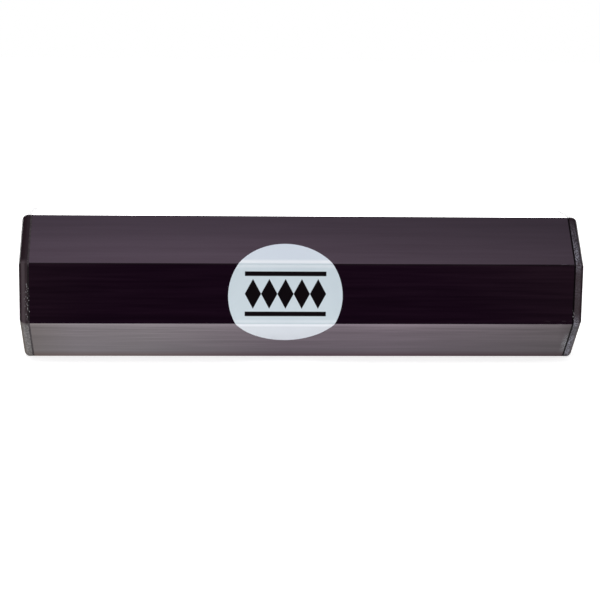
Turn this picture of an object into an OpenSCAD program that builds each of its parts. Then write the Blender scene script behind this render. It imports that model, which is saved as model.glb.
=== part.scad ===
// Eight-sided tube shaker: an anodised aluminium tube closed by two moulded end caps,
// with rows of loose steel shot inside and a round label folded over the front.
// X runs along the tube, the label faces -Y, and the tube rests on the plane Z = 0.

/* [Tube] */
// Width of the eight-sided tube across opposite flats
tube_across_flats = 50; // [40:0.5:60]
// Length of the tube between the two end caps
tube_length = 188; // [140:1:280]
// Thickness of the tube's wall
tube_wall = 1.5; // [1:0.1:3]
// Radius of the tube's eight long outer edges
tube_edge_radius = 0.8; // [0.4:0.1:2]
// Radius of the tube's eight long inner edges
tube_inner_radius = 0.5; // [0.2:0.1:1]
// Chamfer that deburrs each cut end of the tube
tube_end_chamfer = 0.3; // [0.1:0.05:0.4]

/* [End caps] */
// Thickness of the flange that covers the end of the tube
cap_flange = 3.3; // [2.4:0.1:6]
// Radius of the flange's outer rim
cap_rim_radius = 2.2; // [0.6:0.1:2.6]
// Chamfer on the flange where it meets the tube
cap_seam_chamfer = 0.3; // [0.1:0.05:0.4]
// Depth of the spigot that plugs the tube
spigot_depth = 9; // [6:0.5:14]
// Thickness of the spigot's wall
spigot_wall = 1.8; // [1.2:0.1:3]
// Gap between the spigot and the tube's inner flats
spigot_clearance = 0.25; // [0.15:0.05:0.4]
// Chamfer that leads the spigot into the tube
spigot_lead_in = 0.8; // [0.3:0.1:1]
// Width of one crush rib on the spigot
rib_width = 1.2; // [0.8:0.1:2]
// Distance between the two crush ribs of one flat, centre to centre
rib_spacing = 9; // [6:0.5:12]
// Gap between a crush rib and the tube's inner flat
rib_clearance = 0.02; // [0.01:0.01:0.05]

/* [Shot] */
// Diameter of one steel ball
shot_diameter = 4; // [3:0.1:4.5]
// Gap from ball to ball, and from the balls to the walls
shot_gap = 0.15; // [0.1:0.05:0.3]
// Number of balls in a row of the bottom layer
bottom_row_balls = 20; // [12:1:30]
// Number of balls by which each higher layer's rows are shorter
balls_fewer = 4; // [0:1:5]

/* [Label] */
// Diameter of the round label before it is folded over the edges
label_diameter = 39.4; // [24:0.2:48]
// Thickness of the label
label_thickness = 0.1; // [0.06:0.01:0.2]
// Place of the label's centre along the tube, from the middle
label_offset = -6.3; // [-40:0.1:40]
// Drop of the label's centre below the middle of its flat
label_drop = 0.8; // [-4:0.1:4]

/* [Hidden] */
$fn = 96;
SIDES = 8;
TURN = 360 / SIDES;
ROWS = 16;
ROW_NODES = [for (n = [1 : ROWS]) str("shot_row_", n < 10 ? "0" : "", n)];

// How far a cutting shape runs past the face that it cuts
overshoot = 1;

// Half width across flats outside and inside, and the width of one flat
outer_half = tube_across_flats / 2;
inner_half = outer_half - tube_wall;
outer_flat = tube_across_flats * tan(TURN / 2);
inner_flat = 2 * inner_half * tan(TURN / 2);

// Spigot of the end cap, and the height of its crush ribs
spigot_half = inner_half - spigot_clearance;
rib_height = spigot_clearance - rib_clearance;
rib_length = spigot_depth - spigot_lead_in;
rim_radius = min(cap_rim_radius, cap_flange - 2 * cap_seam_chamfer);

// Each shot row is [place across the tube, height above the bottom inner flat, layer].
// Rows lie on the flat, lean on the two slopes beside it, and pile up in the grooves between rows.
pitch = shot_diameter + shot_gap;
seat = shot_diameter / 2 + shot_gap;
flat_reach = inner_flat / 2 - (sqrt(2) - 1) * seat;
flat_rows = floor(2 * flat_reach / pitch) + 1;
flat_end = (flat_rows - 1) / 2 * pitch;
slope_start = (flat_end + flat_reach) / 2 + sqrt(pow(pitch, 2) / 2 - pow((flat_reach - flat_end) / 2, 2));

function pile_layer(layer) = [
    for (i = [0 : 1 : flat_rows - layer - 1])
        [(i - (flat_rows - layer - 1) / 2) * pitch, seat + layer * pitch * sin(60), layer]
];
function slope_pair(layer) = [
    for (side = [-1, 1])
        let (reach = slope_start + layer * pitch * sin(45))
            [side * reach, reach - inner_flat / 2 + sqrt(2) * seat, layer]
];
row_places = [for (layer = [0 : 3]) each concat(pile_layer(layer), slope_pair(layer))];

// Turns a shape drawn across the tube, with local Z along it, into the part's frame
module along_tube() {
    translate([0, 0, outer_half])
        rotate([90, 0, 90])
            children();
}

// Octagon with flats at the top, the bottom and both sides, and round corners
module round_octagon(half, radius) {
    straight = 2 * (half - radius) * tan(TURN / 2);
    corner = (half - radius) / cos(TURN / 2);
    for (k = [0 : SIDES / 2 - 1])
        rotate(TURN * k)
            square([2 * half, straight], center = true);
    for (k = [0 : SIDES - 1])
        rotate(TURN * (k + 0.5))
            translate([corner, 0])
                circle(radius);
    rotate(TURN / 2)
        circle(corner, $fn = SIDES);
}

// Bars across the tube, one for each pair of flats, whose common part has the given outline on every side
module trim_flats(length) {
    intersection_for (k = [0 : SIDES / 2 - 1])
        rotate(TURN * k)
            rotate([90, 0, 0])
                linear_extrude(length, center = true)
                    children();
}

// Outline of a bar as wide as two flats are apart, with its corners chamfered at the low and high ends
module chamfered_outline(half, low, high, low_chamfer, high_chamfer) {
    polygon([
        [-half + low_chamfer, low], [half - low_chamfer, low],
        [half, low + low_chamfer], [half, high - high_chamfer],
        [half - high_chamfer, high], [-half + high_chamfer, high],
        [-half, high - high_chamfer], [-half, low + low_chamfer]
    ]);
}

// Flange outline: a small chamfer at the seam and a full round at the outer rim
module flange_outline() {
    round_z = cap_flange - rim_radius;
    chamfered_outline(outer_half, 0, round_z, cap_seam_chamfer, 0);
    translate([-outer_half + rim_radius, 0])
        square([2 * (outer_half - rim_radius), cap_flange]);
    for (side = [-1, 1])
        translate([side * (outer_half - rim_radius), round_z])
            circle(rim_radius);
}

module tube() {
    color("#1c1519")
        along_tube()
            difference() {
                intersection() {
                    linear_extrude(tube_length, center = true)
                        round_octagon(outer_half, tube_edge_radius);
                    trim_flats(2 * tube_across_flats)
                        chamfered_outline(outer_half, -tube_length / 2, tube_length / 2,
                                          tube_end_chamfer, tube_end_chamfer);
                }
                linear_extrude(tube_length + 2 * overshoot, center = true)
                    round_octagon(inner_half, tube_inner_radius);
            }
}

// Cap with its seam at local z = 0, its flange above and its spigot below, rooted half way into the flange
module end_cap() {
    intersection() {
        linear_extrude(cap_flange)
            round_octagon(outer_half, tube_edge_radius);
        trim_flats(2 * tube_across_flats)
            flange_outline();
    }
    difference() {
        intersection() {
            translate([0, 0, -spigot_depth])
                linear_extrude(spigot_depth + cap_flange / 2)
                    round_octagon(spigot_half, tube_inner_radius);
            trim_flats(2 * tube_across_flats)
                chamfered_outline(spigot_half, -spigot_depth, cap_flange, spigot_lead_in, 0);
        }
        translate([0, 0, -spigot_depth - overshoot])
            linear_extrude(spigot_depth + overshoot)
                round_octagon(spigot_half - spigot_wall, tube_inner_radius);
    }
    for (k = [0 : SIDES - 1], side = [-1, 1])
        rotate(TURN * k)
            translate([spigot_half - spigot_wall / 2, side * rib_spacing / 2 - rib_width / 2, -rib_length])
                cube([spigot_wall / 2 + rib_height, rib_width, rib_length]);
}

module right_cap() {
    color("#2a2628")
        along_tube()
            translate([0, 0, tube_length / 2])
                end_cap();
}

module left_cap() {
    color("#2a2628")
        along_tube()
            mirror([0, 0, 1])
                translate([0, 0, tube_length / 2])
                    end_cap();
}

// Skin as thick as the label, all round the tube
module label_skin(length) {
    linear_extrude(length, center = true)
        difference() {
            round_octagon(outer_half + label_thickness, tube_edge_radius + label_thickness);
            round_octagon(outer_half, tube_edge_radius);
        }
}

// Wedge that opens from the axis over one flat
module flat_wedge(reach, length) {
    side = reach * tan(TURN / 2);
    linear_extrude(length, center = true)
        polygon([[0, 0], [reach, -side], [reach, side]]);
}

// Round label: a disc on the front flat, with its two edges folded onto the flats above and below
module label() {
    reach = outer_half + label_thickness + overshoot;
    length = label_diameter + 2 * overshoot;
    color("#d3e1e8")
        along_tube()
            translate([0, 0, label_offset])
                for (fold = [-1 : 1])
                    rotate(180 - TURN * fold)
                        intersection() {
                            label_skin(length);
                            flat_wedge(reach, length);
                            translate([0, label_drop + fold * outer_flat, 0])
                                rotate([0, 90, 0])
                                    cylinder(h = reach, d = label_diameter);
                        }
}

// One row of loose balls that rolls along the tube
module shot_row(n) {
    place = row_places[n];
    balls = bottom_row_balls - place[2] * balls_fewer;
    color("#b9bcc0")
        for (i = [0 : balls - 1])
            translate([(i - (balls - 1) / 2) * pitch, place[0], tube_wall + place[1]])
                sphere(d = shot_diameter);
}

tube();
left_cap();
right_cap();
label();
for (n = [0 : ROWS - 1])
    shot_row(n);
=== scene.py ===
# %% [markdown]
# A tube shaker, dressed for its picture.
# The object is a closed, eight-sided, black anodised aluminium tube with a black plastic cap glued into
# each end, a round pale label folded over three of its flats, and loose steel shot inside.
# The shapes come from the CAD model, so this lesson is mostly about finishes, light and a few thin
# pieces: the label's film and the glue that squeezed out of the seams.

# %% Load the frame
import math
import random

import bmesh
import bpy
from mathutils import Matrix, Vector, noise


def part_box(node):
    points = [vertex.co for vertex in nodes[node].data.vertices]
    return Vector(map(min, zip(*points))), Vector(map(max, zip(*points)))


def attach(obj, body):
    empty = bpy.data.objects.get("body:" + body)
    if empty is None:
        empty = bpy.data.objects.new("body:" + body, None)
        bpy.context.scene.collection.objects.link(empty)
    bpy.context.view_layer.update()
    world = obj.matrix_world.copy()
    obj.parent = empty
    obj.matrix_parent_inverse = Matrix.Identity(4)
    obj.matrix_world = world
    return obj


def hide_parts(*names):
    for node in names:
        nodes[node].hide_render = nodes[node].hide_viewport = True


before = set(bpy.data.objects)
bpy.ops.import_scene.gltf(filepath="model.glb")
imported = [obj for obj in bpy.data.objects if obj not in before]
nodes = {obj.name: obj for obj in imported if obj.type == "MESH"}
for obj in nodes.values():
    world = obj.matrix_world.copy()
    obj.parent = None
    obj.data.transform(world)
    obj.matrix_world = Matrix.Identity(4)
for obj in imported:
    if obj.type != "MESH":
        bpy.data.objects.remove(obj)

scene = bpy.context.scene
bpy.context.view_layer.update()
print("CAD nodes:", len(nodes))

# %% [markdown]
# Everything in the frame is in metres, while a small instrument is easier to think about in millimetres.
# The tube's own box gives the sizes that the other pieces are worked out from: half its width across
# flats, the width of one flat between sharp corners, the height of its axis and the place of its seams.

# %% Sizes taken from the tube
MM = 0.001
SIDES = 8
TURN = 2 * math.pi / SIDES
tube_low, tube_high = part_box("tube")
HALF = (tube_high.z - tube_low.z) / 2
AXIS_Z = (tube_high.z + tube_low.z) / 2
FLAT = 2 * HALF * math.tan(TURN / 2)
LEFT_SEAM = tube_low.x
RIGHT_SEAM = tube_high.x
print("flat", round(FLAT / MM, 2), "mm wide")
print("seams at", [round(x / MM, 1) for x in (LEFT_SEAM, RIGHT_SEAM)], "mm")

# %% [markdown]
# Colours are picked from a screen, so they are written as sRGB hex and turned to linear light by one
# function.
# Shader trees are long to write out by hand. One helper adds a node, sets its options and fills its
# sockets. A node that is given for a socket is linked by its first output in use, so a material reads
# from top to bottom like a recipe.

# %% Helpers for colours and nodes
def linear(hex_colour):
    channels = [int(hex_colour[i:i + 2], 16) / 255 for i in (1, 3, 5)]
    light = [c / 12.92 if c <= 0.04045 else ((c + 0.055) / 1.055) ** 2.4 for c in channels]
    return (*light, 1.0)


def add_node(tree, kind, inputs=None, **settings):
    node = tree.nodes.new(kind)
    for name, value in settings.items():
        setattr(node, name, value)
    for socket, value in (inputs or {}).items():
        if isinstance(value, bpy.types.Node):
            value = next(output for output in value.outputs if output.enabled)
        if isinstance(value, bpy.types.NodeSocket):
            tree.links.new(value, node.inputs[socket])
        else:
            node.inputs[socket].default_value = value
    return node


def new_material(name):
    material = bpy.data.materials.new(name)
    material.use_nodes = True
    material.node_tree.nodes.clear()
    return material, material.node_tree


def dress(node_names, material):
    for name in node_names:
        nodes[name].data.materials.clear()
        nodes[name].data.materials.append(material)


WHITE = linear("#ffffff")
print("white", WHITE)

# %% [markdown]
# The camera stands where the photographer stood: a little above the tube, 60 cm away, with a long lens.
# It could be placed by eye. Here the point it looks at, its distance, elevation, yaw, roll and lens were
# fitted to the straight edges of the tube, so that the flats fall on the same lines of a square picture.

# %% Camera
TARGET = Vector((0.18, 0.0, 18.41)) * MM
DISTANCE = 601.1 * MM
ELEVATION = math.radians(10.10)
YAW = math.radians(-3.35)
ROLL = math.radians(0.727)
LENS = 100.41
NEAREST = 10 * MM
camera_data = bpy.data.cameras.new("camera")
camera_data.lens = LENS
camera_data.clip_start = NEAREST
camera = bpy.data.objects.new("camera", camera_data)
scene.collection.objects.link(camera)
swing = Matrix.Rotation(YAW, 4, "Z") @ Matrix.Rotation(math.pi / 2 - ELEVATION, 4, "X")
aim = swing @ Matrix.Rotation(ROLL, 4, "Z")
camera.matrix_world = Matrix.Translation(TARGET) @ aim @ Matrix.Translation((0, 0, DISTANCE))
scene.camera = camera
print("camera at", [round(c / MM, 1) for c in camera.matrix_world.translation], "mm")

# %% [markdown]
# The tube is an extrusion of aluminium, brushed, anodised and dyed black. Brushing leaves fine lines
# along its length, and the dyed oxide soaks up most of the light with a violet cast.
# The lines could be modelled, but they are microns deep. A noise that is stretched along the tube gives
# them to the colour, the roughness and a very small bump. They are drawn several times as wide as real
# ones, to show.
# Shade is painted into the dye: the sloping flats are lighter towards the front and the back and darker
# towards the top and the foot, the lower of them show clearer lines, and the front and back flats, in a
# painted tone of their own, show them most.

# %% Brushed lines and painted shade in the dye
LINE_LENGTH = 24 * MM
LINE_WIDTH = 0.9 * MM
LINE_DEPTH = 0.004 * MM
BAND_LENGTH = 120 * MM
BAND_WIDTH = 2.4 * MM
FRONT_BACK_FADE = 0.3 * MM
# Each painted shade of the dye: its colour between the lines and on them
DYE_SHADES = {
    "painted_dark": ("#44323d", "#503e49"),
    "painted_upper": ("#625059", "#6f5f67"),
    "painted_lower": ("#5a4851", "#76666e"),
    "rubbed_and_painted": ("#54464f", "#77686f"),
}


def brushed_lines(tree, place):
    along = add_node(tree, "ShaderNodeMapping", {
        "Vector": place, "Scale": (1 / LINE_LENGTH, 1 / LINE_WIDTH, 1 / LINE_WIDTH)})
    lines = add_node(tree, "ShaderNodeTexNoise", {"Vector": along, "Scale": 1.0, "Detail": 1.0})
    broad = add_node(tree, "ShaderNodeMapping", {
        "Vector": place, "Scale": (1 / BAND_LENGTH, 1 / BAND_WIDTH, 1 / BAND_WIDTH)})
    bands = add_node(tree, "ShaderNodeTexNoise", {"Vector": broad, "Scale": 1.0, "Detail": 2.0})
    streak = add_node(tree, "ShaderNodeMath", {0: lines, 1: bands}, operation="ADD")
    share = add_node(tree, "ShaderNodeMapRange", {"Value": streak, "From Min": 0.7, "From Max": 1.3})
    return lines, share


def shaded_dye(tree, split, share):
    depth = add_node(tree, "ShaderNodeMath", {0: split.outputs["Y"]}, operation="ABSOLUTE")
    # Painted shade: each sloping flat is lighter towards the front and the back, darker towards the top
    # and the foot
    painted_shading = add_node(tree, "ShaderNodeMapRange", {
        "Value": depth, "From Min": FLAT / 2, "From Max": HALF}, interpolation_type="SMOOTHSTEP")
    on_front_and_back = add_node(tree, "ShaderNodeMapRange", {
        "Value": depth, "From Min": HALF - FRONT_BACK_FADE, "From Max": HALF})
    under = add_node(tree, "ShaderNodeMath", {0: split.outputs["Z"], 1: AXIS_Z}, operation="LESS_THAN")
    shaded_dyes = {}
    for name, (between, on_line) in DYE_SHADES.items():
        shaded_dyes[name] = add_node(tree, "ShaderNodeMix", {
            0: share, 6: linear(between), 7: linear(on_line)}, data_type="RGBA")
    # Painted light: the upper and lower sloping flats, and the front and back flats, each have a tone of
    # their own
    slope = add_node(tree, "ShaderNodeMix", {
        0: under, 6: shaded_dyes["painted_upper"], 7: shaded_dyes["painted_lower"]}, data_type="RGBA")
    dye_and_shade = add_node(tree, "ShaderNodeMix", {0: painted_shading, 6: shaded_dyes["painted_dark"], 7: slope}, data_type="RGBA")
    dye_and_shade = add_node(tree, "ShaderNodeMix", {0: on_front_and_back, 6: dye_and_shade, 7: shaded_dyes["rubbed_and_painted"]}, data_type="RGBA")
    return dye_and_shade, on_front_and_back


print("brushed lines drawn", round(LINE_WIDTH / MM, 1), "mm wide, states of the dye:", len(DYE_SHADES))

# %% [markdown]
# Handling also leaves bright nicks along the eight edges, most of them near the right end, and a row of
# faint scuffs there. A blot of dried glue is left on the lower flats beside the right seam.
# Each mark could be cut or laid on as a mesh, but none is deep enough to see as a shape. So each is a
# mask: a noise, multiplied by ramps that say where the mark may be. The edges are found by the angle
# round the axis, because that is the same all along the tube.

# %% Nicks, scuffs and dried glue on the tube
NICK_LENGTH = 2.2 * MM
NICK_WIDTH = 0.5 * MM
NICKS_FROM_END = 22 * MM
EDGE_REACH = 0.9 * MM
SCUFF_LENGTH = 2.4 * MM
SCUFF_WIDTH = 0.4 * MM
SCUFF_UP = 0.9 * MM
SCUFFS_FROM_END = 11 * MM
BLOT_REACH = (2.2 * MM, 0.4 * MM)
BLOT_DROP = 8.4 * MM
BLOT_HALF = 5 * MM
SPECK = 0.5 * MM


def edge_nicks(tree, place, split, height):
    # Angle round the axis, folded so that it is 0 on the middle of a flat and TURN / 2 on an edge
    angle = add_node(tree, "ShaderNodeMath", {0: height, 1: split.outputs["Y"]}, operation="ARCTAN2")
    folded = add_node(tree, "ShaderNodeMath", {0: angle, 1: TURN / 2}, operation="PINGPONG")
    edge = add_node(tree, "ShaderNodeMapRange", {
        "Value": folded, "From Min": TURN / 2 - EDGE_REACH / HALF, "From Max": TURN / 2},
        interpolation_type="SMOOTHSTEP")
    near_end = add_node(tree, "ShaderNodeMapRange", {
        "Value": split.outputs["X"], "From Min": RIGHT_SEAM - NICKS_FROM_END, "From Max": RIGHT_SEAM,
        "To Min": 0.6, "To Max": 1.0}, interpolation_type="SMOOTHSTEP")
    along = add_node(tree, "ShaderNodeMapping", {
        "Vector": place, "Scale": (1 / NICK_LENGTH, 1 / NICK_WIDTH, 1 / NICK_WIDTH)})
    scored = add_node(tree, "ShaderNodeTexNoise", {"Vector": along, "Scale": 1.0, "Detail": 2.0})
    for mask in (edge, near_end):
        scored = add_node(tree, "ShaderNodeMath", {0: scored, 1: mask}, operation="MULTIPLY")
    return add_node(tree, "ShaderNodeMapRange", {"Value": scored, "From Min": 0.42, "From Max": 0.52})


def scuff_row(tree, place, split, height, on_front_and_back):
    # A row just above the lower edge, near the right end
    above = add_node(tree, "ShaderNodeMath", {0: height, 1: SCUFF_UP - FLAT / 2}, operation="SUBTRACT")
    above = add_node(tree, "ShaderNodeMath", {0: above}, operation="ABSOLUTE")
    scuffs = add_node(tree, "ShaderNodeMapRange", {
        "Value": above, "From Max": SCUFF_WIDTH, "To Min": 1.0, "To Max": 0.0})
    at_end = add_node(tree, "ShaderNodeMapRange", {
        "Value": split.outputs["X"], "From Min": RIGHT_SEAM - SCUFFS_FROM_END,
        "From Max": RIGHT_SEAM - SCUFFS_FROM_END + SCUFF_LENGTH})
    rubs = add_node(tree, "ShaderNodeTexNoise", {
        "Vector": place, "Scale": 1 / SCUFF_LENGTH, "Detail": 1.0})
    rubbed_and_painted = add_node(tree, "ShaderNodeMapRange", {
        "Value": rubs, "From Min": 0.46, "From Max": 0.6, "To Max": 0.5})
    for mask in (at_end, rubbed_and_painted, on_front_and_back):
        scuffs = add_node(tree, "ShaderNodeMath", {0: scuffs, 1: mask}, operation="MULTIPLY")
    return scuffs


def glue_blot(tree, place, split, height):
    blot = add_node(tree, "ShaderNodeMapRange", {
        "Value": split.outputs["X"], "From Min": RIGHT_SEAM - BLOT_REACH[0],
        "From Max": RIGHT_SEAM - BLOT_REACH[1]})
    off_middle = add_node(tree, "ShaderNodeMath", {0: height, 1: FLAT / 2 + BLOT_DROP}, operation="ADD")
    off_middle = add_node(tree, "ShaderNodeMath", {0: off_middle}, operation="ABSOLUTE")
    within = add_node(tree, "ShaderNodeMapRange", {
        "Value": off_middle, "From Max": BLOT_HALF, "To Min": 1.0, "To Max": 0.0})
    grit = add_node(tree, "ShaderNodeTexNoise", {"Vector": place, "Scale": 1 / SPECK, "Detail": 2.0})
    specks = add_node(tree, "ShaderNodeMapRange", {"Value": grit, "From Min": 0.38, "From Max": 0.62})
    for mask in (within, specks):
        blot = add_node(tree, "ShaderNodeMath", {0: blot, 1: mask}, operation="MULTIPLY")
    return blot


print("nicks within", round(NICKS_FROM_END / MM), "mm of the right seam are the brightest")

# %% [markdown]
# Anodising ends with a seal, which leaves a thin clear layer of aluminium oxide on top of the dye. So the
# finish is a dark metal under a clear coat. A dark plastic would be simpler, but it would lose the
# violet cast in its reflections. Worn edges show bare metal, and scuffs and glue take the gloss off.

# %% Black anodised aluminium
def black_anodised_aluminium():
    material, tree = new_material("black_anodised_aluminium")
    place = add_node(tree, "ShaderNodeTexCoord").outputs["Object"]
    split = add_node(tree, "ShaderNodeSeparateXYZ", {"Vector": place})
    height = add_node(tree, "ShaderNodeMath", {0: split.outputs["Z"], 1: AXIS_Z}, operation="SUBTRACT")
    lines, share = brushed_lines(tree, place)
    dye_and_shade, on_front_and_back = shaded_dye(tree, split, share)
    nicks = edge_nicks(tree, place, split, height)
    scuffs = scuff_row(tree, place, split, height, on_front_and_back)
    blot = glue_blot(tree, place, split, height)
    bare = add_node(tree, "ShaderNodeMath", {0: nicks, 1: scuffs}, operation="MAXIMUM")
    worn = add_node(tree, "ShaderNodeMix", {0: bare, 6: dye_and_shade, 7: linear("#8f8a8c")}, data_type="RGBA")
    colour = add_node(tree, "ShaderNodeMix", {0: blot, 6: worn, 7: linear("#c6cbd3")}, data_type="RGBA")
    matt = add_node(tree, "ShaderNodeMath", {0: scuffs, 1: blot}, operation="MAXIMUM")
    dull_and_sheen = add_node(tree, "ShaderNodeMath", {0: matt, 1: 0.5}, operation="MULTIPLY")
    satin = add_node(tree, "ShaderNodeMapRange", {
        "Value": lines, "From Min": 0.3, "From Max": 0.7, "To Min": 0.15, "To Max": 0.21})
    satin = add_node(tree, "ShaderNodeMath", {0: satin, 1: dull_and_sheen}, operation="ADD")
    relief = add_node(tree, "ShaderNodeBump", {"Height": lines, "Strength": 0.3, "Distance": LINE_DEPTH})
    shader = add_node(tree, "ShaderNodeBsdfPrincipled", {
        "Base Color": colour, "Metallic": 1.0, "Roughness": satin, "Coat Weight": 1.0,
        "Coat Roughness": 0.1, "Coat IOR": 1.77, "Normal": relief})
    add_node(tree, "ShaderNodeOutputMaterial", {"Surface": shader})
    return material


dress(["tube"], black_anodised_aluminium())
print("tube dressed in", nodes["tube"].data.materials[0].name)

# %% [markdown]
# The end caps are moulded in black ABS. Moulding leaves a satin skin with a fine grain. A warm grey
# painted reflection lightens the rim below the upper edge. It fades out where the rim turns to the
# end, and it is weaker on the right cap and in a strip along the left seam on its front.
# The foot of the left cap is painted lighter still, with speckles in it. On the right cap smeared glue
# has dried in patches of bluish specks, most of them away from the middle of the front flat, and fewer
# towards the top.
# Each could be a shader of its own. A colour mixed in by a mask is enough, because the glue is only a
# thin matt veil and the painted reflection is only a colour.

# %% Painted reflection and smeared glue on the caps
FOLD_FADE = 1.5 * MM
SHEEN_FADE = (2.1 * MM, 2.8 * MM)
SMEAR_FADE = (1.5 * MM, 2.7 * MM)
SMEAR_TOP = (13 * MM, 0.3 * MM)
WEAK_SHEEN_STRIP = (0.88 * MM, 1.32 * MM)
PATCH = 9 * MM


def painted_rim_sheen(tree, split, reach, to_right):
    # Painted reflection: the rim below the upper edge is lighter, fading out on the end
    painted_sheen = add_node(tree, "ShaderNodeMapRange", {
        "Value": reach, "From Min": RIGHT_SEAM + SHEEN_FADE[0], "From Max": RIGHT_SEAM + SHEEN_FADE[1],
        "To Min": 1.0, "To Max": 0.0}, interpolation_type="SMOOTHSTEP")
    below = add_node(tree, "ShaderNodeMapRange", {
        "Value": split.outputs["Z"], "From Min": AXIS_Z + FLAT / 2,
        "From Max": AXIS_Z + FLAT / 2 + FOLD_FADE, "To Min": 1.0, "To Max": 0.0},
        interpolation_type="SMOOTHSTEP")
    # The painted reflection is weaker on the right cap
    rubbed_and_painted = add_node(tree, "ShaderNodeMapRange", {"Value": to_right, "To Min": 1.0, "To Max": 0.52})
    foot = add_node(tree, "ShaderNodeMapRange", {
        "Value": split.outputs["Z"], "From Min": AXIS_Z - FLAT / 2 - FOLD_FADE,
        "From Max": AXIS_Z - FLAT / 2, "To Min": 1.0, "To Max": 0.0}, interpolation_type="SMOOTHSTEP")
    # The strip of weaker painted reflection is on the front of the left cap only
    kept = add_node(tree, "ShaderNodeMapRange", {
        "Value": reach, "From Min": RIGHT_SEAM + WEAK_SHEEN_STRIP[0], "From Max": RIGHT_SEAM + WEAK_SHEEN_STRIP[1],
        "To Min": 0.4, "To Max": 1.0})
    for elsewhere in (foot, to_right):
        kept = add_node(tree, "ShaderNodeMath", {0: kept, 1: elsewhere}, operation="MAXIMUM")
    for mask in (below, rubbed_and_painted, kept):
        painted_sheen = add_node(tree, "ShaderNodeMath", {0: painted_sheen, 1: mask}, operation="MULTIPLY")
    return painted_sheen, foot


def smeared_glue(tree, place, split, reach, to_right, speckle):
    patch = add_node(tree, "ShaderNodeTexNoise", {"Vector": place, "Scale": 1 / PATCH, "Detail": 1.0})
    cover = add_node(tree, "ShaderNodeMapRange", {
        "Value": patch, "From Min": 0.32, "From Max": 0.5, "To Min": 0.45})
    near_seam = add_node(tree, "ShaderNodeMapRange", {
        "Value": reach, "From Min": RIGHT_SEAM + SMEAR_FADE[0], "From Max": RIGHT_SEAM + SMEAR_FADE[1],
        "To Min": 1.0, "To Max": 0.0}, interpolation_type="SMOOTHSTEP")
    height = add_node(tree, "ShaderNodeMath", {0: split.outputs["Z"], 1: AXIS_Z}, operation="SUBTRACT")
    off_middle = add_node(tree, "ShaderNodeMath", {0: height}, operation="ABSOLUTE")
    patchy = add_node(tree, "ShaderNodeMapRange", {
        "Value": off_middle, "From Min": FLAT / 3, "From Max": FLAT / 2, "To Min": 0.15, "To Max": 0.85})
    wiped = add_node(tree, "ShaderNodeMapRange", {
        "Value": height, "From Min": HALF - SMEAR_TOP[0], "From Max": HALF - SMEAR_TOP[1],
        "To Min": 1.0, "To Max": 0.0})
    smear = speckle
    for mask in (cover, near_seam, patchy, wiped, to_right):
        smear = add_node(tree, "ShaderNodeMath", {0: smear, 1: mask}, operation="MULTIPLY")
    return smear


print("haze ends", SHEEN_FADE[1] / MM, "mm beyond the seams")

# %% [markdown]
# ABS is an ordinary glossy plastic with an IOR of 1.54. The grain of the mould breaks its gloss up into
# a satin, which a fine noise in the bump gives, and dried glue is duller still.

# %% Moulded black ABS
GRAIN = 0.35 * MM
GRAIN_DEPTH = 0.02 * MM
BLOTCH = 0.5 * MM


def moulded_black_abs():
    material, tree = new_material("moulded_black_abs")
    place = add_node(tree, "ShaderNodeTexCoord").outputs["Object"]
    split = add_node(tree, "ShaderNodeSeparateXYZ", {"Vector": place})
    reach = add_node(tree, "ShaderNodeMath", {0: split.outputs["X"]}, operation="ABSOLUTE")
    to_right = add_node(tree, "ShaderNodeMapRange", {
        "Value": split.outputs["X"], "From Min": LEFT_SEAM, "From Max": RIGHT_SEAM})
    blotch = add_node(tree, "ShaderNodeTexNoise", {
        "Vector": place, "Scale": 1 / BLOTCH, "Detail": 2.0, "Roughness": 0.6})
    speckle = add_node(tree, "ShaderNodeMapRange", {"Value": blotch, "From Min": 0.42, "From Max": 0.64})
    painted_sheen, foot = painted_rim_sheen(tree, split, reach, to_right)
    smear = smeared_glue(tree, place, split, reach, to_right, speckle)
    # Painted reflection tones: the front lighter than the top, and the left foot lighter still, with
    # speckles
    speckled_sheen = add_node(tree, "ShaderNodeMix", {
        0: speckle, 6: linear("#474345"), 7: linear("#817c7e")}, data_type="RGBA")
    foot_tone = add_node(tree, "ShaderNodeMix", {
        0: to_right, 6: speckled_sheen, 7: linear("#3b373b")}, data_type="RGBA")
    dull_and_sheen = add_node(tree, "ShaderNodeMix", {
        0: foot, 6: linear("#463b40"), 7: foot_tone}, data_type="RGBA")
    sheened = add_node(tree, "ShaderNodeMix", {0: painted_sheen, 6: linear("#1d0b12"), 7: dull_and_sheen}, data_type="RGBA")
    colour = add_node(tree, "ShaderNodeMix", {0: smear, 6: sheened, 7: linear("#9d9dab")}, data_type="RGBA")
    skin = add_node(tree, "ShaderNodeMapRange", {"Value": smear, "To Min": 0.32, "To Max": 0.6})
    grain = add_node(tree, "ShaderNodeTexNoise", {"Vector": place, "Scale": 1 / GRAIN, "Detail": 2.0})
    relief = add_node(tree, "ShaderNodeBump", {"Height": grain, "Strength": 0.5, "Distance": GRAIN_DEPTH})
    shader = add_node(tree, "ShaderNodeBsdfPrincipled", {
        "Base Color": colour, "Roughness": skin, "IOR": 1.54, "Specular IOR Level": 0.5,
        "Normal": relief})
    add_node(tree, "ShaderNodeOutputMaterial", {"Surface": shader})
    return material


dress(["left_cap", "right_cap"], moulded_black_abs())
print("caps dressed in", nodes["left_cap"].data.materials[0].name)

# %% [markdown]
# The shot is polished steel. Nobody sees it in the closed tube, but it is a real piece, so it gets a
# real finish: a bright metal with fine scratches from ball rubbing on ball, which a stretched noise
# gives to the colour, the roughness and a small bump.

# %% Polished steel shot
SCRATCH_LENGTH = 1.2 * MM
SCRATCH_WIDTH = 0.12 * MM
SCRATCH_DEPTH = 0.005 * MM


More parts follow.
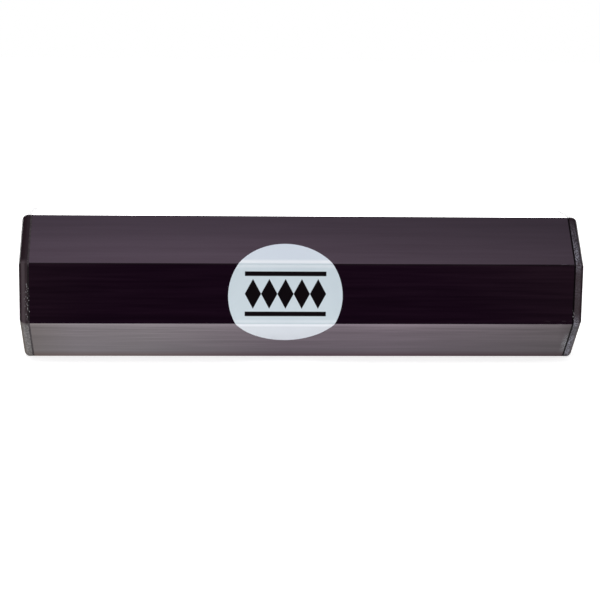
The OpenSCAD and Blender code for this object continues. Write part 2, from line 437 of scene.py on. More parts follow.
def polished_steel():
    material, tree = new_material("polished_steel")
    place = add_node(tree, "ShaderNodeTexCoord").outputs["Object"]
    along = add_node(tree, "ShaderNodeMapping", {
        "Vector": place, "Scale": (1 / SCRATCH_LENGTH, 1 / SCRATCH_WIDTH, 1 / SCRATCH_WIDTH)})
    scratches = add_node(tree, "ShaderNodeTexNoise", {"Vector": along, "Scale": 1.0, "Detail": 3.0})
    tone = add_node(tree, "ShaderNodeMix", {
        0: scratches, 6: linear("#a9acb0"), 7: linear("#c9cccf")}, data_type="RGBA")
    polish = add_node(tree, "ShaderNodeMapRange", {
        "Value": scratches, "From Min": 0.35, "From Max": 0.75, "To Min": 0.1, "To Max": 0.3})
    relief = add_node(tree, "ShaderNodeBump", {
        "Height": scratches, "Strength": 0.3, "Distance": SCRATCH_DEPTH})
    shader = add_node(tree, "ShaderNodeBsdfPrincipled", {
        "Base Color": tone, "Metallic": 1.0, "Roughness": polish, "Normal": relief})
    add_node(tree, "ShaderNodeOutputMaterial", {"Surface": shader})
    return material


shot_rows = sorted(name for name in nodes if name.startswith("shot_row_"))
dress(shot_rows, polished_steel())
print("rows of shot:", len(shot_rows))

# %% [markdown]
# The label is a round piece of printed film, stuck to the front flat and folded back over two edges.
# It could be cut out of three flats, but a real one is a flat disc that somebody folds, so it is made
# that way: a disc is drawn flat and cut across by parallel lines where it will bend. Then everything
# beyond each line is turned a few degrees about that line, from the outermost line inwards, and the
# disc wraps the edge.
# Stiff film doesn't lie down at once after a fold, so a low ridge is raised beyond each edge first.

# %% Fold the label out of a disc
label_low, label_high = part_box("label")
LABEL_RADIUS = (label_high.x - label_low.x) / 2
LABEL_X = (label_high.x + label_low.x) / 2
LABEL_DROP = (2 * AXIS_Z - label_high.z - label_low.z) / (2 * math.cos(TURN))
FILM = -label_low.y - HALF
FILM_GAP = 0.01 * MM
EDGE_RADIUS = 0.8 * MM
FOLD_STEPS = 6
DISC_SEGMENTS = 240
TINY = 0.001 * MM
# Low ridge on each flap: distance from the end of the fold, and height
RIDGE = (
    (0.25 * MM, 0.0),
    (0.7 * MM, 0.05 * MM),
    (1.2 * MM, 0.06 * MM),
    (1.9 * MM, 0.025 * MM),
    (2.8 * MM, 0.0),
)


def cut_across(bm, line):
    geometry = bm.verts[:] + bm.edges[:] + bm.faces[:]
    bmesh.ops.bisect_plane(bm, geom=geometry, plane_co=(0, line, 0), plane_no=(0, 1, 0), dist=TINY / 10)


def fold_over_edge(bm, side):
    arc = EDGE_RADIUS * TURN
    start = LABEL_DROP + side * (FLAT / 2 - EDGE_RADIUS * math.tan(TURN / 2))
    for distance, rise in RIDGE:
        line = start + side * (arc + distance)
        cut_across(bm, line)
        on_line = [v for v in bm.verts if abs(v.co.y - line) < TINY]
        bmesh.ops.translate(bm, verts=on_line, vec=(0, 0, rise))
    lines = [start + side * arc * k / FOLD_STEPS for k in range(FOLD_STEPS + 1)]
    for line in lines:
        cut_across(bm, line)
    for k in range(FOLD_STEPS, -1, -1):
        step = TURN / FOLD_STEPS if 0 < k < FOLD_STEPS else TURN / FOLD_STEPS / 2
        beyond = [v for v in bm.verts if side * (v.co.y - lines[k]) > TINY]
        bend = Matrix.Rotation(-side * step, 3, "X")
        bmesh.ops.rotate(bm, verts=beyond, cent=(0, lines[k], 0), matrix=bend)


def mesh_object(name, bm):
    mesh = bpy.data.meshes.new(name)
    bm.to_mesh(mesh)
    bm.free()
    piece = bpy.data.objects.new(name, mesh)
    scene.collection.objects.link(piece)
    return piece


def folded_label():
    bm = bmesh.new()
    bmesh.ops.create_circle(bm, cap_ends=True, segments=DISC_SEGMENTS, radius=LABEL_RADIUS)
    for side in (1, -1):
        fold_over_edge(bm, side)
    bmesh.ops.rotate(bm, verts=bm.verts[:], cent=(0, 0, 0), matrix=Matrix.Rotation(math.pi / 2, 3, "X"))
    bmesh.ops.translate(bm, verts=bm.verts[:], vec=(LABEL_X, -HALF - FILM_GAP, AXIS_Z - LABEL_DROP))
    piece = mesh_object("label_film", bm)
    wall = piece.modifiers.new("thickness", "SOLIDIFY")
    wall.thickness = FILM - FILM_GAP
    wall.offset = 1.0
    return piece


label = folded_label()
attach(label, "shell")
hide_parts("label")
print("label drop", round(LABEL_DROP / MM, 2), "mm, faces", len(label.data.polygons))

# %% [markdown]
# The print is a plain band of lozenges between two rules, an old ornament, in black ink.
# It could be a decal mesh, but ink has no height, so it is drawn with a little arithmetic on the place
# along and up the front flat.
# Where the film is folded it is stretched and catches the light, which shows as whitened bands on both
# sides of each fold, partly whitening of the film and partly a painted highlight, stronger on the flap,
# with a thin shadow line between them.

# %% Print and folds of the label
LOZENGE_PITCH = 5.6 * MM
LOZENGES = 5
LOZENGE_HALF = 5.2 * MM
PRINT_HALF = LOZENGES / 2 * LOZENGE_PITCH
RULE_AT = 7 * MM
RULE_HALF = 0.8 * MM
INK_BLUR = 0.06 * MM
CREASE_AT = 0.75 * MM
CREASE_HALF = 0.9 * MM
CREASE_ENDS = (0.4 * LABEL_RADIUS, 0.75 * LABEL_RADIUS)
SHADOW_HALF = 0.25 * MM


def lozenge_print(tree, across, far, up):
    # In a lozenge, the distance along from its middle, drawn out to its height, and the distance up
    # add up to less than its half height
    nearest = add_node(tree, "ShaderNodeMath", {0: across, 1: LOZENGE_PITCH / 2}, operation="PINGPONG")
    run = add_node(tree, "ShaderNodeMath", {
        0: nearest, 1: LOZENGE_HALF / (LOZENGE_PITCH / 2)}, operation="MULTIPLY")
    diamond = add_node(tree, "ShaderNodeMath", {0: run, 1: up}, operation="ADD")
    off_rule = add_node(tree, "ShaderNodeMath", {0: up, 1: RULE_AT}, operation="SUBTRACT")
    off_rule = add_node(tree, "ShaderNodeMath", {0: off_rule}, operation="ABSOLUTE")
    shapes = []
    for measure, reach in ((diamond, LOZENGE_HALF), (off_rule, RULE_HALF), (far, PRINT_HALF)):
        shapes.append(add_node(tree, "ShaderNodeMapRange", {
            "Value": measure, "From Min": reach - INK_BLUR, "From Max": reach + INK_BLUR,
            "To Min": 1.0, "To Max": 0.0}))
    lozenges, rules, width = shapes
    inked = add_node(tree, "ShaderNodeMath", {0: lozenges, 1: rules}, operation="MAXIMUM")
    return add_node(tree, "ShaderNodeMath", {0: inked, 1: width}, operation="MULTIPLY")


def fold_marks(tree, far, up):
    off_fold = add_node(tree, "ShaderNodeMath", {0: up, 1: FLAT / 2}, operation="SUBTRACT")
    off_fold = add_node(tree, "ShaderNodeMath", {0: off_fold}, operation="ABSOLUTE")
    off_crease = add_node(tree, "ShaderNodeMath", {0: off_fold, 1: CREASE_AT}, operation="SUBTRACT")
    off_crease = add_node(tree, "ShaderNodeMath", {0: off_crease}, operation="ABSOLUTE")
    # Whitened band: partly whitening of the stretched film, partly a painted highlight
    whitening_and_highlight = add_node(tree, "ShaderNodeMapRange", {
        "Value": off_crease, "From Max": CREASE_HALF, "To Min": 1.0, "To Max": 0.0},
        interpolation_type="SMOOTHSTEP")
    ends = add_node(tree, "ShaderNodeMapRange", {
        "Value": far, "From Min": CREASE_ENDS[0], "From Max": CREASE_ENDS[1], "To Min": 0.9,
        "To Max": 1.0})
    beyond = add_node(tree, "ShaderNodeMapRange", {
        "Value": up, "From Min": FLAT / 2 - SHADOW_HALF, "From Max": FLAT / 2 + SHADOW_HALF,
        "To Min": 0.4, "To Max": 1.0})
    for mask in (ends, beyond):
        whitening_and_highlight = add_node(tree, "ShaderNodeMath", {0: whitening_and_highlight, 1: mask}, operation="MULTIPLY")
    shadow = add_node(tree, "ShaderNodeMapRange", {
        "Value": off_fold, "From Max": SHADOW_HALF, "To Min": 0.5, "To Max": 0.0},
        interpolation_type="SMOOTHSTEP")
    return whitening_and_highlight, shadow


print("printed band", round(2 * PRINT_HALF / MM, 1), "mm wide with", LOZENGES, "lozenges")

# %% [markdown]
# The film is printed vinyl with a satin face, pale blue grey. Cast film has a faint orange peel, which
# a noise gives to the gloss and the bump. Its flaps are painted a little paler than the front, as painted
# light: the upper flap bluer, the lower warmer. The ink shines less than the film.

# %% Printed vinyl film
ORANGE_PEEL = 0.5 * MM
PEEL_DEPTH = 0.008 * MM
FADE = 14 * MM


def printed_vinyl():
    material, tree = new_material("printed_vinyl")
    place = add_node(tree, "ShaderNodeTexCoord").outputs["Object"]
    split = add_node(tree, "ShaderNodeSeparateXYZ", {"Vector": place})
    up = add_node(tree, "ShaderNodeMath", {0: split.outputs["Z"], 1: AXIS_Z}, operation="SUBTRACT")
    up = add_node(tree, "ShaderNodeMath", {0: up}, operation="ABSOLUTE")
    across = add_node(tree, "ShaderNodeMath", {0: split.outputs["X"], 1: LABEL_X}, operation="SUBTRACT")
    far = add_node(tree, "ShaderNodeMath", {0: across}, operation="ABSOLUTE")
    ink = lozenge_print(tree, across, far, up)
    whitening_and_highlight, shadow = fold_marks(tree, far, up)
    flap = add_node(tree, "ShaderNodeMapRange", {
        "Value": up, "From Min": FLAT / 2, "From Max": FLAT / 2 + CREASE_AT, "To Max": 0.25})
    # Painted light on the flaps: the upper one bluer, the lower one warmer
    over = add_node(tree, "ShaderNodeMath", {0: split.outputs["Z"], 1: AXIS_Z}, operation="GREATER_THAN")
    flap_painted_light = add_node(tree, "ShaderNodeMix", {
        0: over, 6: linear("#f6eaee"), 7: linear("#e6e6fc")}, data_type="RGBA")
    fade = add_node(tree, "ShaderNodeTexNoise", {"Vector": place, "Scale": 1 / FADE, "Detail": 1.0})
    colour = add_node(tree, "ShaderNodeMix", {
        0: fade, 6: linear("#c9d6df"), 7: linear("#d1dde4")}, data_type="RGBA")
    veils = ((flap, flap_painted_light), (whitening_and_highlight, linear("#eef2f8")), (shadow, linear("#b4c0c8")),
             (ink, linear("#0e060b")))
    for mask, tone in veils:
        colour = add_node(tree, "ShaderNodeMix", {0: mask, 6: colour, 7: tone}, data_type="RGBA")
    peel = add_node(tree, "ShaderNodeTexNoise", {
        "Vector": place, "Scale": 1 / ORANGE_PEEL, "Detail": 2.0})
    gloss = add_node(tree, "ShaderNodeMapRange", {"Value": peel, "To Min": 0.4, "To Max": 0.5})
    sheen = add_node(tree, "ShaderNodeMapRange", {"Value": ink, "To Min": 0.5, "To Max": 0.15})
    relief = add_node(tree, "ShaderNodeBump", {"Height": peel, "Strength": 0.3, "Distance": PEEL_DEPTH})
    shader = add_node(tree, "ShaderNodeBsdfPrincipled", {
        "Base Color": colour, "Roughness": gloss, "IOR": 1.5, "Specular IOR Level": sheen,
        "Normal": relief})
    add_node(tree, "ShaderNodeOutputMaterial", {"Surface": shader})
    return material


film = printed_vinyl()
label.data.materials.append(film)
dress(["label"], film)
print("label printed with", film.name)

# %% [markdown]
# Each cap meets the tube in a fine groove, made by the two small chamfers, and dark glue fills most of
# it. The line of glue could be left to shadow, but glue is rough and never quite even, and that is what
# the eye sees.
# It is made as a ring: an octagon with its corners rounded is cut into short lengths, drawn out and
# scaled three times into a four-sided section, and closed. A fixed noise then makes its outer side
# uneven.

# %% Rings of glue in the seams
GROOVE_HALF = 0.28 * MM
GROOVE_DEPTH = 0.26 * MM
CORNER_SEGMENTS = 4
BEAD_SUNK = 0.08 * MM
BEAD_CUTS = 40
BEAD_UNEVEN = 0.05 * MM
BEAD_LUMP = 1.1 * MM


def round_octagon_loop(bm):
    bmesh.ops.create_circle(bm, cap_ends=True, segments=SIDES, radius=HALF / math.cos(TURN / 2))
    bmesh.ops.rotate(bm, verts=bm.verts[:], cent=(0, 0, 0), matrix=Matrix.Rotation(TURN / 2, 3, "Z"))
    bmesh.ops.bevel(bm, geom=bm.verts[:], offset=EDGE_RADIUS * math.tan(TURN / 2), offset_type="OFFSET",
                    segments=CORNER_SEGMENTS, profile=0.5, affect="VERTICES", material=-1)
    bmesh.ops.delete(bm, geom=bm.faces[:], context="FACES_ONLY")
    long_edges = [e for e in bm.edges if e.calc_length() > FLAT / 2]
    bmesh.ops.subdivide_edges(bm, edges=long_edges, cuts=BEAD_CUTS)


def draw_out(bm, edges, slide, depth):
    made = bmesh.ops.extrude_edge_only(bm, edges=edges)["geom"]
    verts = [g for g in made if isinstance(g, bmesh.types.BMVert)]
    now = max(v.co.y for v in verts)
    size = (HALF - depth) / now
    bmesh.ops.scale(bm, verts=verts, vec=(size, size, 1.0))
    bmesh.ops.translate(bm, verts=verts, vec=(0, 0, slide))
    return [g for g in made if isinstance(g, bmesh.types.BMEdge)]


def seam_glue(name, seam):
    bm = bmesh.new()
    round_octagon_loop(bm)
    first = bm.edges[:]
    outer = draw_out(bm, first, GROOVE_HALF, BEAD_SUNK)
    far = draw_out(bm, outer, GROOVE_HALF, 0.0)
    inner = draw_out(bm, far, -GROOVE_HALF, GROOVE_DEPTH)
    bmesh.ops.bridge_loops(bm, edges=inner + first)
    for vert in {v for edge in outer for v in edge.verts}:
        swell = noise.noise(Vector((vert.co.x, vert.co.y, seam)) / BEAD_LUMP)
        size = 1 + swell * BEAD_UNEVEN / HALF
        bmesh.ops.scale(bm, verts=[vert], vec=(size, size, 1.0))
    bmesh.ops.translate(bm, verts=bm.verts[:], vec=(0, 0, -GROOVE_HALF))
    bmesh.ops.rotate(bm, verts=bm.verts[:], cent=(0, 0, 0), matrix=Matrix.Rotation(math.pi / 2, 3, "Y"))
    bmesh.ops.translate(bm, verts=bm.verts[:], vec=(seam, 0, AXIS_Z))
    bmesh.ops.recalc_face_normals(bm, faces=bm.faces[:])
    return mesh_object(name, bm)


rings = []
for name, seam in (("seam_glue_left", LEFT_SEAM), ("seam_glue_right", RIGHT_SEAM)):
    ring = seam_glue(name, seam)
    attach(ring, "shell")
    rings.append(ring)
    print(name, len(ring.data.polygons), "faces")

# %% [markdown]
# The glue in the seams has cured dark and half glossy. In the left seam it is painted paler in patches,
# as a painted highlight, except on the front flat. Two materials would do, but one with a mask keeps the
# two rings alike.

# %% Dark cured glue
def dark_cured_glue():
    material, tree = new_material("dark_cured_glue")
    place = add_node(tree, "ShaderNodeTexCoord").outputs["Object"]
    cloud = add_node(tree, "ShaderNodeTexNoise", {"Vector": place, "Scale": 1 / BLOTCH, "Detail": 3.0})
    split = add_node(tree, "ShaderNodeSeparateXYZ", {"Vector": place})
    # Painted highlight: the left ring is paler in patches, and only faintly on the front flat
    painted_highlight = add_node(tree, "ShaderNodeMath", {0: split.outputs["X"], 1: 0.0}, operation="LESS_THAN")
    height = add_node(tree, "ShaderNodeMath", {0: split.outputs["Z"], 1: AXIS_Z}, operation="SUBTRACT")
    off_middle = add_node(tree, "ShaderNodeMath", {0: height}, operation="ABSOLUTE")
    off_front = add_node(tree, "ShaderNodeMapRange", {
        "Value": off_middle, "From Min": FLAT / 2 - FOLD_FADE, "From Max": FLAT / 2, "To Min": 0.25,
        "To Max": 1.0})
    for mask in (cloud, off_front):
        painted_highlight = add_node(tree, "ShaderNodeMath", {0: painted_highlight, 1: mask}, operation="MULTIPLY")
    colour = add_node(tree, "ShaderNodeMix", {
        0: painted_highlight, 6: linear("#0a0709"), 7: linear("#5a5257")}, data_type="RGBA")
    gloss = add_node(tree, "ShaderNodeMapRange", {"Value": cloud, "To Min": 0.15, "To Max": 0.35})
    shader = add_node(tree, "ShaderNodeBsdfPrincipled", {
        "Base Color": colour, "Roughness": gloss, "IOR": 1.5, "Specular IOR Level": 0.1})
    add_node(tree, "ShaderNodeOutputMaterial", {"Surface": shader})
    return material


seam_finish = dark_cured_glue()
for ring in rings:
    ring.data.materials.append(seam_finish)
print("seams filled with", seam_finish.name)

# %% [markdown]
# A little glue squeezed out of the left seam on the front flat and set there as tiny drops, and a few
# more sit at the foot of the right seam. Each drop is a small ball pressed flat against the metal.
# They could be painted on, but a drop catches a point of light because it is round, so they are
# modelled. The places are drawn from a seeded random generator, so the drops are the same in every run.

# %% Drops of glue on the seams
DROP_SEED = 7
DROP_SIZES = (0.07 * MM, 0.25 * MM)
DROP_STRETCH = (0.9, 1.5)
DROP_SPREAD = 0.9 * MM
DROP_FLATNESS = 0.3
# Each group of drops: its place along the tube, how many, and the heights between which they lie,
# counted from the axis
DROP_GROUPS = {
    "glue_drops_left": (LEFT_SEAM - 0.5 * MM, 30, -9.5 * MM, 3.2 * MM),
    "glue_drops_right": (RIGHT_SEAM, 9, -9.8 * MM, -5.5 * MM),
}


def cured_glue():
    material, tree = new_material("cured_glue")
    place = add_node(tree, "ShaderNodeTexCoord").outputs["Object"]
    cloud = add_node(tree, "ShaderNodeTexNoise", {"Vector": place, "Scale": 1 / BLOTCH, "Detail": 2.0})
    colour = add_node(tree, "ShaderNodeMix", {
        0: cloud, 6: linear("#2e2c2f"), 7: linear("#a09da0")}, data_type="RGBA")
    gloss = add_node(tree, "ShaderNodeMapRange", {"Value": cloud, "To Min": 0.08, "To Max": 0.3})
    shader = add_node(tree, "ShaderNodeBsdfPrincipled", {
        "Base Color": colour, "Roughness": gloss, "IOR": 1.52})
    add_node(tree, "ShaderNodeOutputMaterial", {"Surface": shader})
    return material


def glue_drops(name, seam, count, low, high, draw):
    bm = bmesh.new()
    for i in range(count):
        size = draw.uniform(*DROP_SIZES)
        drop = bmesh.ops.create_icosphere(bm, subdivisions=2, radius=size)["verts"]
        bmesh.ops.scale(bm, verts=drop, vec=(1.0, DROP_FLATNESS, draw.uniform(*DROP_STRETCH)))
        aside = draw.gauss(0.0, DROP_SPREAD / 2)
        up = low + (high - low) * (i + draw.random()) / count
        spot = (seam + aside, -HALF, AXIS_Z + up)
        bmesh.ops.translate(bm, verts=drop, vec=spot)
    piece = mesh_object(name, bm)
    piece.data.shade_smooth()
    return piece


glue = cured_glue()
draw = random.Random(DROP_SEED)
for name, (seam, count, low, high) in DROP_GROUPS.items():
    drops = glue_drops(name, seam, count, low, high, draw)
    drops.data.materials.append(glue)
    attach(drops, "shell")
    print(name, count, "drops")

# %% [markdown]
# The stage is a plain pale floor. The camera sees it as white with only the shaker's own soft shadow on
# it, because a part of its brightness is added for camera and transmission rays alone: it lights
# nothing.
# A polished black tube shows whatever stands round it. Reflections see a pale floor without that
# shadow, in the tones that a studio floor has close to an object: lighter in the open, shaded where the
# tube rests, and falling off to both ends.

# %% Floor
FLOOR_SIZE = 6000 * MM
FLOOR_DROP = 0.05 * MM
# Brightness added for the camera, near the tube and far away, and the distances between which it changes
LIFT = (0.67, 0.8)
LIFT_FADE = (250 * MM, 1000 * MM)
FALL = (-55 * MM, -5 * MM)
FALL_AGAIN = 30 * MM
LEFT_END = 15 * MM
LEFT_TILT = 55 * MM
RIGHT_END = (-2 * MM, 5 * MM)
CONTACT = (0.5 * MM, 2.0 * MM)
OPEN = (20.6 * MM, 22 * MM)


def seen_floor(tree, place, path):
    seen = add_node(tree, "ShaderNodeMath", {
        0: path.outputs["Is Camera Ray"], 1: path.outputs["Is Transmission Ray"]}, operation="MAXIMUM")
    distance = add_node(tree, "ShaderNodeVectorMath", {0: place}, operation="LENGTH")
    white = add_node(tree, "ShaderNodeMapRange", {
        "Value": distance, "From Min": LIFT_FADE[0], "From Max": LIFT_FADE[1], "To Min": LIFT[0],
        "To Max": LIFT[1]}, interpolation_type="SMOOTHSTEP")
    lift = add_node(tree, "ShaderNodeMath", {0: seen, 1: white}, operation="MULTIPLY")
    paper = add_node(tree, "ShaderNodeBsdfDiffuse", {"Color": linear("#f0f0f0")})
    glow = add_node(tree, "ShaderNodeEmission", {"Strength": lift})
    return add_node(tree, "ShaderNodeAddShader", {0: paper, 1: glow})


def mirrored_tone(tree, split, depth, to_right):
    # Darker to the right and at the left end, and shaded where the tube rests
    to_middle = add_node(tree, "ShaderNodeMapRange", {
        "Value": split.outputs["X"], "From Min": FALL[0], "From Max": FALL[1]})
    from_end = add_node(tree, "ShaderNodeMapRange", {
        "Value": split.outputs["X"], "From Min": LEFT_SEAM, "From Max": LEFT_SEAM + LEFT_END})
    level = add_node(tree, "ShaderNodeMix", {
        0: to_middle, 6: linear("#ebefef"), 7: linear("#d2cdd6")}, data_type="RGBA")
    level = add_node(tree, "ShaderNodeMix", {
        0: to_right, 6: level, 7: linear("#b8b9b9")}, data_type="RGBA")
    level = add_node(tree, "ShaderNodeMix", {
        0: from_end, 6: linear("#dde0d9"), 7: level}, data_type="RGBA")
    contact = add_node(tree, "ShaderNodeMapRange", {
        "Value": depth, "From Min": FLAT / 2 + CONTACT[0], "From Max": FLAT / 2 + CONTACT[1],
        "To Min": 1.0, "To Max": 0.0})
    touch = add_node(tree, "ShaderNodeMix", {
        0: to_middle, 6: linear("#e7dad3"), 7: linear("#dccbcc")}, data_type="RGBA")
    shade = add_node(tree, "ShaderNodeMix", {0: contact, 6: WHITE, 7: touch}, data_type="RGBA")
    return add_node(tree, "ShaderNodeVectorMath", {0: level, 1: shade}, operation="MULTIPLY")


def mirrored_strength(tree, split, depth, to_right):
    # Brighter out in the open, dark in the outer corner at the right end,
    # and at the left lighter near the tube than further out
    open_lift = add_node(tree, "ShaderNodeMapRange", {"Value": to_right, "To Min": 1.62, "To Max": 1.36})
    strength = add_node(tree, "ShaderNodeMapRange", {
        "Value": depth, "From Min": OPEN[0], "From Max": OPEN[1], "To Min": 1.0, "To Max": open_lift})
    outwards = add_node(tree, "ShaderNodeMapRange", {
        "Value": depth, "From Min": FLAT / 2 + CONTACT[1], "From Max": OPEN[1]})
    at_end = add_node(tree, "ShaderNodeMapRange", {
        "Value": split.outputs["X"], "From Min": RIGHT_SEAM + RIGHT_END[0],
        "From Max": RIGHT_SEAM + RIGHT_END[1]})
    corner = add_node(tree, "ShaderNodeMath", {0: at_end, 1: outwards}, operation="MULTIPLY")
    dimmed = add_node(tree, "ShaderNodeMapRange", {"Value": corner, "To Min": 1.0, "To Max": 0.55})
    tilt = add_node(tree, "ShaderNodeMapRange", {"Value": outwards, "To Min": 1.15, "To Max": 0.8})
    levelled = add_node(tree, "ShaderNodeMapRange", {
        "Value": split.outputs["X"], "From Min": LEFT_SEAM, "From Max": LEFT_SEAM + LEFT_TILT,
        "To Min": tilt, "To Max": 1.0})
    for share in (dimmed, levelled):
        strength = add_node(tree, "ShaderNodeMath", {0: strength, 1: share}, operation="MULTIPLY")
    return strength


def studio_floor():
    material, tree = new_material("studio_floor")
    place = add_node(tree, "ShaderNodeTexCoord").outputs["Object"]
    path = add_node(tree, "ShaderNodeLightPath")
    lit = seen_floor(tree, place, path)
    split = add_node(tree, "ShaderNodeSeparateXYZ", {"Vector": place})
    depth = add_node(tree, "ShaderNodeMath", {0: split.outputs["Y"]}, operation="ABSOLUTE")
    to_right = add_node(tree, "ShaderNodeMapRange", {
        "Value": split.outputs["X"], "From Min": FALL_AGAIN, "From Max": RIGHT_SEAM})
    tone = mirrored_tone(tree, split, depth, to_right)
    strength = mirrored_strength(tree, split, depth, to_right)
    mirrored = add_node(tree, "ShaderNodeEmission", {"Color": tone, "Strength": strength})
    both = add_node(tree, "ShaderNodeMixShader", {0: path.outputs["Is Glossy Ray"], 1: lit, 2: mirrored})
    add_node(tree, "ShaderNodeOutputMaterial", {"Surface": both})
    material.cycles.emission_sampling = "NONE"
    return material


bm = bmesh.new()
bmesh.ops.create_grid(bm, size=FLOOR_SIZE / 2)
floor = mesh_object("floor", bm)
floor.data.transform(Matrix.Translation((0, 0, -FLOOR_DROP)))
floor.data.materials.append(studio_floor())
print("floor", FLOOR_SIZE, "m wide")

# %% [markdown]
# In a studio, dark card laid round a shiny object keeps its front black. So here too a dark card covers
# the rest of the floor, with an opening for the tube, and only reflections see it. Its shade is painted
# on as a dim glow, lighter towards its ends.
# It could be four strips. One grid with its middle inset and taken out has no joints.

# %% Dark card
CARD_INNER = (140 * MM, 25 * MM)
CARD_WIDTH = 3000 * MM
CARD_HEIGHT = 0.3 * MM
CARD_FADE = (70 * MM, 130 * MM)


def dark_card():
    material, tree = new_material("dark_card")
    place = add_node(tree, "ShaderNodeTexCoord").outputs["Object"]
    split = add_node(tree, "ShaderNodeSeparateXYZ", {"Vector": place})
    away = add_node(tree, "ShaderNodeMath", {0: split.outputs["X"]}, operation="ABSOLUTE")
    ends = add_node(tree, "ShaderNodeMapRange", {
        "Value": away, "From Min": CARD_FADE[0], "From Max": CARD_FADE[1]})
    shade = add_node(tree, "ShaderNodeMix", {
        0: ends, 6: linear("#351f36"), 7: linear("#412f3e")}, data_type="RGBA")
    # Painted light: the card glows with a dim shade of its own, lighter towards the ends
    painted_glow = add_node(tree, "ShaderNodeEmission", {"Color": shade, "Strength": 1.0})
    add_node(tree, "ShaderNodeOutputMaterial", {"Surface": painted_glow})
    material.cycles.emission_sampling = "NONE"
    return material


bm = bmesh.new()
bmesh.ops.create_grid(bm, size=1.0)
bmesh.ops.scale(bm, verts=bm.verts[:], vec=(CARD_INNER[0] + CARD_WIDTH, CARD_INNER[1] + CARD_WIDTH, 1.0))
bmesh.ops.inset_individual(bm, faces=bm.faces[:], thickness=CARD_WIDTH, use_even_offset=True)
middle = min(bm.faces, key=lambda face: face.calc_area())
bmesh.ops.delete(bm, geom=[middle], context="FACES_ONLY")
card = mesh_object("card", bm)
card.data.transform(Matrix.Translation((0, 0, CARD_HEIGHT)))
card.data.materials.append(dark_card())
card.visible_camera = False
card.visible_diffuse = False
card.visible_transmission = False
card.visible_shadow = False
print("card faces:", len(card.data.polygons))

# %% [markdown]
# The light is plain and soft: two large softboxes to the left and right in front, one overhead and a
# faint glow from the table in front. With the fill that follows, they are set to a level where the
# label's film renders about as its colour is written. A long softbox low behind is for reflections
# alone: it whitens the flat on top.

# %% Lamps
# Each lamp: its place and the point it is turned to, its width and depth, all in metres,
# its power in watts, and what it works on
LAMPS = {
    "left_softbox": ((-0.85, -0.75, 0.38), (0.0, 0.0, AXIS_Z), 0.6, 0.6, 2.6, "all"),
    "right_softbox": ((0.85, -0.75, 0.38), (0.0, 0.0, AXIS_Z), 0.6, 0.6, 1.8, "all"),
    "top_softbox": ((-0.15, -0.1, 1.1), (0.0, 0.0, AXIS_Z), 1.0, 0.7, 4.5, "surfaces"),
    "table_glow": ((0.0, -0.056, 0.0002), (0.0, -0.056, 1.0), 0.3, 0.09, 0.036, "surfaces"),
    "back_softbox": ((0.0, 1.3, 0.24), (0.0, 0.0, AXIS_Z), 2.4, 0.4, 10.0, "reflections"),
}
for name, (spot, look_at, width, depth, power, works_on) in LAMPS.items():
    lamp_data = bpy.data.lights.new(name, "AREA")
    lamp_data.shape = "RECTANGLE"
    lamp_data.size = width
    lamp_data.size_y = depth
    lamp_data.energy = power
    lamp = bpy.data.objects.new(name, lamp_data)
    scene.collection.objects.link(lamp)
    lamp.location = spot
    lamp.rotation_euler = (Vector(look_at) - Vector(spot)).to_track_quat("-Z", "Y").to_euler()
    lamp.visible_camera = False
    lamp.visible_glossy = works_on != "surfaces"
    lamp.visible_diffuse = works_on != "reflections"
print("lamps:", len(LAMPS))

# %% [markdown]
# The world gives an even fill from all round, and the camera itself sees white.
# Reflections see a studio, told apart by how far a direction has climbed from the camera's side over the
# top to the back: a dim room behind the camera, a grey ceiling with a faint violet cast that is
# brightest a little left of the middle, a dim gap, and a white sweep behind. A picture of a studio would
# do as well, but a few ramps are enough for eight flat sides.

# %% World
FILL = 0.46
DARK_ROOM_TO = math.radians(50)
CEILING_FROM = math.radians(75)
CEILING_TO = math.radians(92)
GAP_FROM = math.radians(106)
GAP_TO = math.radians(156)
SWEEP_FROM = math.radians(167)
GAP_SHARE = 0.35
# Sideways part of a direction, between which the ceiling gets brighter and then dimmer to the right
BRIGHTER = (-0.3, -0.02)
DIMMER = (-0.1, 0.33)


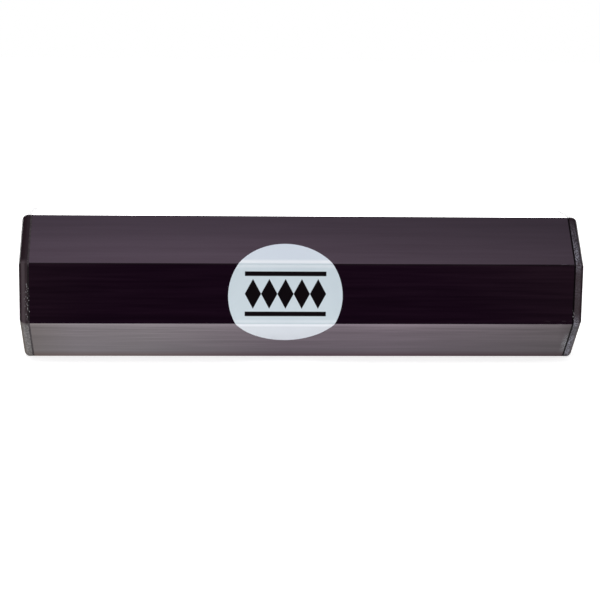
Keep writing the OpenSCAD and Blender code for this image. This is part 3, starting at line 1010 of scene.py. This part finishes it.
def mirrored_studio(tree):
    direction = add_node(tree, "ShaderNodeSeparateXYZ", {
        "Vector": add_node(tree, "ShaderNodeTexCoord").outputs["Generated"]})
    ahead = add_node(tree, "ShaderNodeMath", {0: direction.outputs["Y"], 1: -1.0}, operation="MULTIPLY")
    climb = add_node(tree, "ShaderNodeMath", {0: direction.outputs["Z"], 1: ahead}, operation="ARCTAN2")
    rise = add_node(tree, "ShaderNodeMapRange", {
        "Value": climb, "From Min": DARK_ROOM_TO, "From Max": CEILING_FROM},
        interpolation_type="SMOOTHSTEP")
    sweep = add_node(tree, "ShaderNodeMapRange", {
        "Value": climb, "From Min": GAP_TO, "From Max": SWEEP_FROM}, interpolation_type="SMOOTHSTEP")
    gap = add_node(tree, "ShaderNodeMapRange", {
        "Value": climb, "From Min": CEILING_TO, "From Max": GAP_FROM, "To Min": 1.0, "To Max": GAP_SHARE},
        interpolation_type="SMOOTHSTEP")
    level = add_node(tree, "ShaderNodeMapRange", {
        "Value": direction.outputs["X"], "From Min": DIMMER[0], "From Max": DIMMER[1], "To Min": 1.37,
        "To Max": 0.53})
    at_left = add_node(tree, "ShaderNodeMapRange", {
        "Value": direction.outputs["X"], "From Min": BRIGHTER[0], "From Max": BRIGHTER[1], "To Min": 0.4,
        "To Max": 1.0})
    for share in (at_left, gap):
        level = add_node(tree, "ShaderNodeMath", {0: level, 1: share}, operation="MULTIPLY")
    ceiling = add_node(tree, "ShaderNodeMix", {
        0: rise, 6: linear("#3c323b"), 7: linear("#9e96a5")}, data_type="RGBA")
    uneven = add_node(tree, "ShaderNodeVectorMath", {0: ceiling, "Scale": level}, operation="SCALE")
    room = add_node(tree, "ShaderNodeMix", {0: sweep, 6: uneven, 7: WHITE}, data_type="RGBA")
    return add_node(tree, "ShaderNodeBackground", {"Color": room, "Strength": 1.0})


def studio_world():
    world = bpy.data.worlds.new("studio")
    world.use_nodes = True
    tree = world.node_tree
    tree.nodes.clear()
    path = add_node(tree, "ShaderNodeLightPath")
    reflected = mirrored_studio(tree)
    fill = add_node(tree, "ShaderNodeBackground", {"Color": WHITE, "Strength": FILL})
    white = add_node(tree, "ShaderNodeBackground", {"Color": WHITE, "Strength": 1.0})
    lit = add_node(tree, "ShaderNodeMixShader", {0: path.outputs["Is Glossy Ray"], 1: fill, 2: reflected})
    seen = add_node(tree, "ShaderNodeMath", {
        0: path.outputs["Is Camera Ray"], 1: path.outputs["Is Transmission Ray"]}, operation="MAXIMUM")
    shown = add_node(tree, "ShaderNodeMixShader", {0: seen, 1: lit, 2: white})
    add_node(tree, "ShaderNodeOutputWorld", {"Surface": shown})
    # Light sampling knows no kind of ray and would put the fill into reflections
    world.cycles.sampling_method = "NONE"
    return world


scene.world = studio_world()
scene.view_settings.view_transform = "Standard"
print("world:", scene.world.name)

# %% [markdown]

# %% End
print("scene built")
